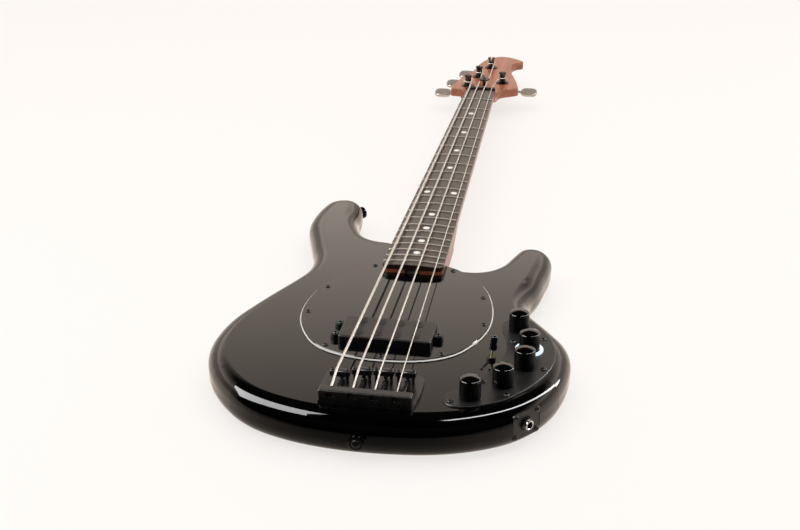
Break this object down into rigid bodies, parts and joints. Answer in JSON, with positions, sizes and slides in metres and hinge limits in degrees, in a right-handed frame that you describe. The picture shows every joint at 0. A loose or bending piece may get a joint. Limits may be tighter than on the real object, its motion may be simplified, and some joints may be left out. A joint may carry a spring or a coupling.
{
  "type": "electric bass guitar",
  "caption": "Solid-body electric bass guitar with bolt-on neck, tuning machines, adjustable bridge, large pickup, control knobs and a lit ring.",
  "frame": {"origin": "on the flat back of the body, where the centre line crosses the nominal saddle line", "axes": "+X to the treble side, +Y along the strings to the headstock, +Z out of the top of the body"},
  "size_m": [0.3466, 1.1541, 0.0666],
  "materials": {
    "body_lacquer": "high gloss black lacquer over wood",
    "guard_black": "gloss black sheet",
    "guard_white": "white ply",
    "black_metal": "satin black plating",
    "neck_wood": "satin roasted maple",
    "board_wood": "oiled ebony",
    "fret_steel": "polished",
    "pearl": "pearl",
    "nut_black": "matte black",
    "string_steel": "round wound",
    "pickup_black": "satin black moulding",
    "coil_wire": "enamelled wire",
    "pole_steel": "dark",
    "plain_steel": "zinc",
    "pot_case": "plain",
    "light": "lit ring, blue white",
    "lever_brass": "brass shaft, black tip",
    "jack_chrome": "bright",
    "box_plastic": "black moulding",
    "battery_case": "plain sleeve",
    "circuit": "green board"
  },
  "bodies": {
    "instrument": {"body": "body_lacquer", "pickguard": "guard_black", "pickguard_core": "guard_white", "control_plate": "black_metal", "bridge_plate": "black_metal", "tuner_plates": "black_metal", "tuner_bushings": "black_metal", "string_tree": "black_metal", "strap_buttons": "black_metal", "jack_plate": "black_metal", "neck_plate": "black_metal", "small_screws": "black_metal", "neck_screws": "black_metal", "neck": "neck_wood", "fingerboard": "board_wood", "frets": "fret_steel", "position_dots": "pearl", "nut": "nut_black", "string_e": "string_steel", "string_a": "string_steel", "string_d": "string_steel", "string_g": "string_steel", "springs": "plain_steel", "truss_rod": "plain_steel", "toggle_switch": "plain_steel", "potentiometers": "pot_case", "light_ring": "light", "output_jack": "jack_chrome", "battery_box": "box_plastic", "battery": "battery_case", "circuit_board": "circuit"},
    "key_e": {"tuner_key_e": "black_metal"},
    "post_e": {"tuner_post_e": "black_metal"},
    "key_a": {"tuner_key_a": "black_metal"},
    "post_a": {"tuner_post_a": "black_metal"},
    "key_d": {"tuner_key_d": "black_metal"},
    "post_d": {"tuner_post_d": "black_metal"},
    "key_g": {"tuner_key_g": "black_metal"},
    "post_g": {"tuner_post_g": "black_metal"},
    "knob_volume": {"knob_volume": "black_metal"},
    "knob_treble": {"knob_treble": "black_metal"},
    "knob_middle": {"knob_middle": "black_metal"},
    "knob_bass": {"knob_bass": "black_metal"},
    "knob_blend": {"knob_blend": "black_metal"},
    "toggle": {"toggle_lever": "lever_brass"},
    "screw_e": {"length_screw_e": "black_metal"},
    "saddle_e": {"saddle_e": "black_metal"},
    "screw_a": {"length_screw_a": "black_metal"},
    "saddle_a": {"saddle_a": "black_metal"},
    "screw_d": {"length_screw_d": "black_metal"},
    "saddle_d": {"saddle_d": "black_metal"},
    "screw_g": {"length_screw_g": "black_metal"},
    "saddle_g": {"saddle_g": "black_metal"},
    "rod_wheel": {"truss_wheel": "plain_steel"},
    "pickup": {"pickup_cover": "pickup_black", "pickup_coils": "coil_wire", "pickup_poles": "pole_steel", "pickup_screws": "black_metal"},
    "lid": {"battery_lid": "box_plastic"}
  },
  "joints": [
    {"name": "key_e_turn", "type": "hinge", "parent": "instrument", "child": "key_e", "pos_m": [-0.0248, 0.9283, 0.0248], "axis": [1, 0, 0], "continuous": true},
    {"name": "post_e_turn", "type": "hinge", "parent": "instrument", "child": "post_e", "pos_m": [-0.0248, 0.914, 0.0248], "axis": [0, 0, 1], "continuous": true},
    {"name": "key_a_turn", "type": "hinge", "parent": "instrument", "child": "key_a", "pos_m": [-0.0136, 0.9778, 0.0248], "axis": [1, 0, 0], "continuous": true},
    {"name": "post_a_turn", "type": "hinge", "parent": "instrument", "child": "post_a", "pos_m": [-0.0136, 0.9635, 0.0248], "axis": [0, 0, 1], "continuous": true},
    {"name": "key_d_turn", "type": "hinge", "parent": "instrument", "child": "key_d", "pos_m": [-0.0004, 1.0295, 0.0248], "axis": [1, 0, 0], "continuous": true},
    {"name": "post_d_turn", "type": "hinge", "parent": "instrument", "child": "post_d", "pos_m": [-0.0004, 1.0152, 0.0248], "axis": [0, 0, 1], "continuous": true},
    {"name": "key_g_turn", "type": "hinge", "parent": "instrument", "child": "key_g", "pos_m": [0.0252, 0.951, 0.0248], "axis": [1, 0, 0], "continuous": true},
    {"name": "post_g_turn", "type": "hinge", "parent": "instrument", "child": "post_g", "pos_m": [0.0252, 0.9367, 0.0248], "axis": [0, 0, 1], "continuous": true},
    {"name": "knob_volume_turn", "type": "hinge", "parent": "instrument", "child": "knob_volume", "pos_m": [0.0919, -0.0128, 0.0435], "axis": [0, 0, 1], "range_deg": [-150, 150]},
    {"name": "knob_treble_turn", "type": "hinge", "parent": "instrument", "child": "knob_treble", "pos_m": [0.1184, 0.014, 0.0435], "axis": [0, 0, 1], "range_deg": [-150, 150]},
    {"name": "knob_middle_turn", "type": "hinge", "parent": "instrument", "child": "knob_middle", "pos_m": [0.1349, 0.0494, 0.0435], "axis": [0, 0, 1], "range_deg": [-150, 150]},
    {"name": "knob_bass_turn", "type": "hinge", "parent": "instrument", "child": "knob_bass", "pos_m": [0.1364, 0.0835, 0.0435], "axis": [0, 0, 1], "range_deg": [-150, 150]},
    {"name": "knob_blend_turn", "type": "hinge", "parent": "instrument", "child": "knob_blend", "pos_m": [0.123, 0.1242, 0.0435], "axis": [0, 0, 1], "range_deg": [-150, 150]},
    {"name": "toggle_throw", "type": "hinge", "parent": "instrument", "child": "toggle", "pos_m": [0.1026, 0.0621, 0.0413], "axis": [0, 1, 0], "range_deg": [-14, 0]},
    {"name": "screw_e_turn", "type": "hinge", "parent": "instrument", "child": "screw_e", "pos_m": [-0.0246, -0.033, 0.047], "axis": [0, 1, 0], "range_deg": [-1445, 1445]},
    {"name": "saddle_e_slide", "type": "slide", "parent": "instrument", "child": "saddle_e", "axis": [0, 1, 0], "range_m": [-0.0032, 0.0032], "deforming": ["string_e", "springs"]},
    {"name": "screw_a_turn", "type": "hinge", "parent": "instrument", "child": "screw_a", "pos_m": [-0.005, -0.033, 0.047], "axis": [0, 1, 0], "range_deg": [-1445, 1445]},
    {"name": "saddle_a_slide", "type": "slide", "parent": "instrument", "child": "saddle_a", "axis": [0, 1, 0], "range_m": [-0.0032, 0.0032], "deforming": ["string_a", "springs"]},
    {"name": "screw_d_turn", "type": "hinge", "parent": "instrument", "child": "screw_d", "pos_m": [0.0146, -0.033, 0.047], "axis": [0, 1, 0], "range_deg": [-1445, 1445]},
    {"name": "saddle_d_slide", "type": "slide", "parent": "instrument", "child": "saddle_d", "axis": [0, 1, 0], "range_m": [-0.0032, 0.0032], "deforming": ["string_d", "springs"]},
    {"name": "screw_g_turn", "type": "hinge", "parent": "instrument", "child": "screw_g", "pos_m": [0.0342, -0.033, 0.047], "axis": [0, 1, 0], "range_deg": [-1445, 1445]},
    {"name": "saddle_g_slide", "type": "slide", "parent": "instrument", "child": "saddle_g", "axis": [0, 1, 0], "range_m": [-0.0032, 0.0032], "deforming": ["string_g", "springs"]},
    {"name": "rod_wheel_turn", "type": "hinge", "parent": "instrument", "child": "rod_wheel", "pos_m": [0, 0.2344, 0.041], "axis": [0, 1, 0], "range_deg": [-360, 360]},
    {"name": "pickup_height", "type": "slide", "parent": "instrument", "child": "pickup", "axis": [0, 0, 1], "range_m": [-0.002, 0.002], "deforming": ["springs"]},
    {"name": "lid_hinge", "type": "hinge", "parent": "instrument", "child": "lid", "pos_m": [-0.09525, 0.016, 0.0012], "axis": [0, 1, 0], "range_deg": [0, 90]}
  ],
  "couplings": [
    {"joint": "post_e_turn", "follows": "key_e_turn", "ratio": 0.05},
    {"joint": "post_a_turn", "follows": "key_a_turn", "ratio": 0.05},
    {"joint": "post_d_turn", "follows": "key_d_turn", "ratio": 0.05},
    {"joint": "post_g_turn", "follows": "key_g_turn", "ratio": 0.05},
    {"joint": "screw_e_turn", "follows": "saddle_e_slide", "rad_per_m": 7854},
    {"joint": "screw_a_turn", "follows": "saddle_a_slide", "rad_per_m": 7854},
    {"joint": "screw_d_turn", "follows": "saddle_d_slide", "rad_per_m": 7854},
    {"joint": "screw_g_turn", "follows": "saddle_g_slide", "rad_per_m": 7854}
  ]
}
